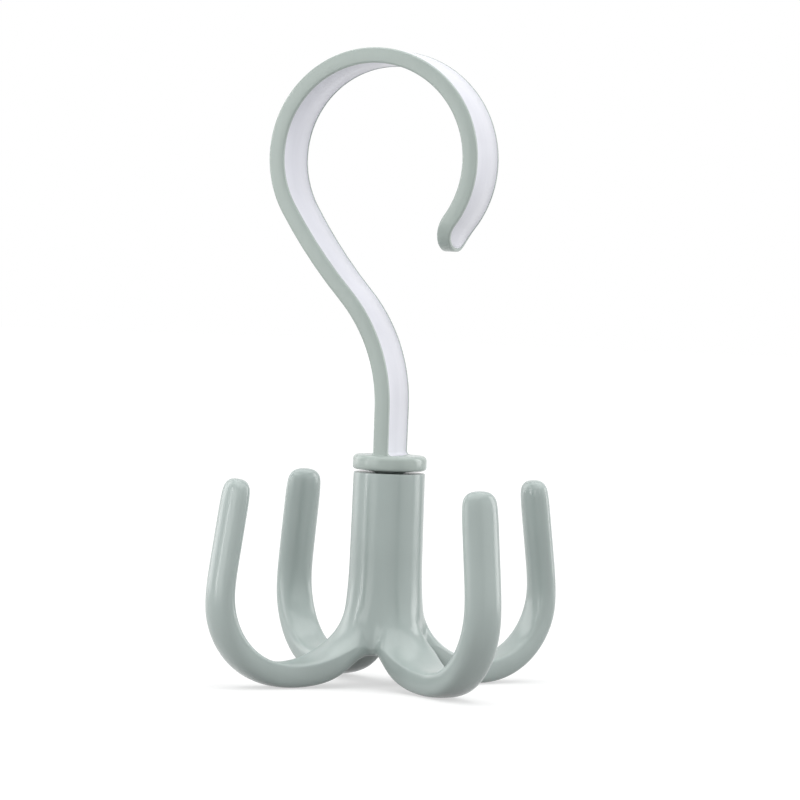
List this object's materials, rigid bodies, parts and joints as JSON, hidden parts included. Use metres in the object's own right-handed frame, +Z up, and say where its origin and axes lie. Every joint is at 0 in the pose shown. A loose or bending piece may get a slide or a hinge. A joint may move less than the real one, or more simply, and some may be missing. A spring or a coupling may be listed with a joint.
{
  "type": "rotating closet hook",
  "caption": "Flat band hook for a closet rod, with a round flange and a swivelling barrel below it that carries upturned claws.",
  "frame": {"origin": "the rod seat: the highest point of the loop's inner face, halfway through the band's depth", "axes": "+Z up along the swivel axis, +X from the swivel axis towards the loop's open tip, +Y through the band's depth, away from the side that the picture shows"},
  "size_m": [0.0705, 0.0704, 0.14],
  "materials": {
    "sage_plastic": "smooth moulded grey-green plastic with a soft gloss",
    "pale_plastic": "smooth moulded pale plastic with a soft gloss, near white with a cool tint"
  },
  "bodies": {
    "hook": {"hook_frame": "sage_plastic", "hook_core": "pale_plastic"},
    "claws": {"claw_base": "sage_plastic"}
  },
  "joints": [
    {"name": "swivel", "type": "hinge", "parent": "hook", "child": "claws", "pos_m": [0.00407, 0, -0.0896], "axis": [0, 0, 1], "continuous": true}
  ]
}
